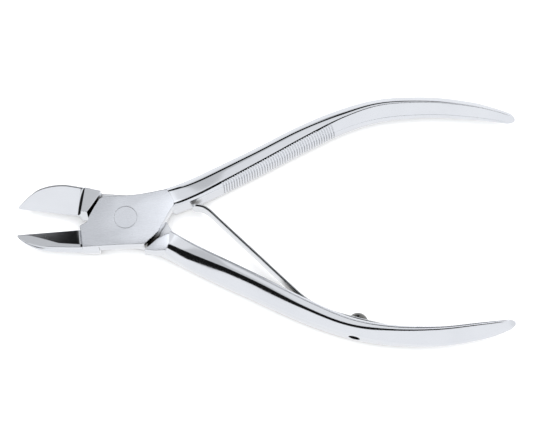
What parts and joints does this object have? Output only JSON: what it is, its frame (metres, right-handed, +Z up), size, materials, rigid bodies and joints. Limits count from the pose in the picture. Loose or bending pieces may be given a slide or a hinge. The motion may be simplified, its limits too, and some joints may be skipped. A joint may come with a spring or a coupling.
{
  "type": "side nippers",
  "caption": "Lap-jointed hobby side nippers with hollow-ground jaws, bowed handles, a leaf return spring and a flush pivot rivet",
  "frame": {"origin": "On the pivot axis, at the underside of the lap joint", "axes": "+X runs along the tool from the pivot to the handles, +Y from the back handle to the front handle, +Z up along the pivot out of the front lever's joint face"},
  "size_m": [0.1408, 0.0729, 0.0088],
  "materials": {
    "lever_chrome": "bright chrome plate over a polished forging, with satin-ground joint faces",
    "rivet_steel": "ground flush with the joint face",
    "spring_steel": "polished spring strip",
    "screw_steel": "polished dome head"
  },
  "bodies": {
    "back_half": {"back_lever": "lever_chrome", "pivot_rivet": "rivet_steel", "return_spring": "spring_steel", "spring_screw": "screw_steel"},
    "front_half": {"front_lever": "lever_chrome"}
  },
  "joints": [
    {"name": "jaw_pivot", "type": "hinge", "parent": "back_half", "child": "front_half", "pos_m": [0, 0, 0.0044], "axis": [0, 0, 1], "range_deg": [-14.3, 0], "stiffness_Nm_per_rad": 2, "springref_deg": 8.59, "deforming": ["return_spring"]}
  ]
}
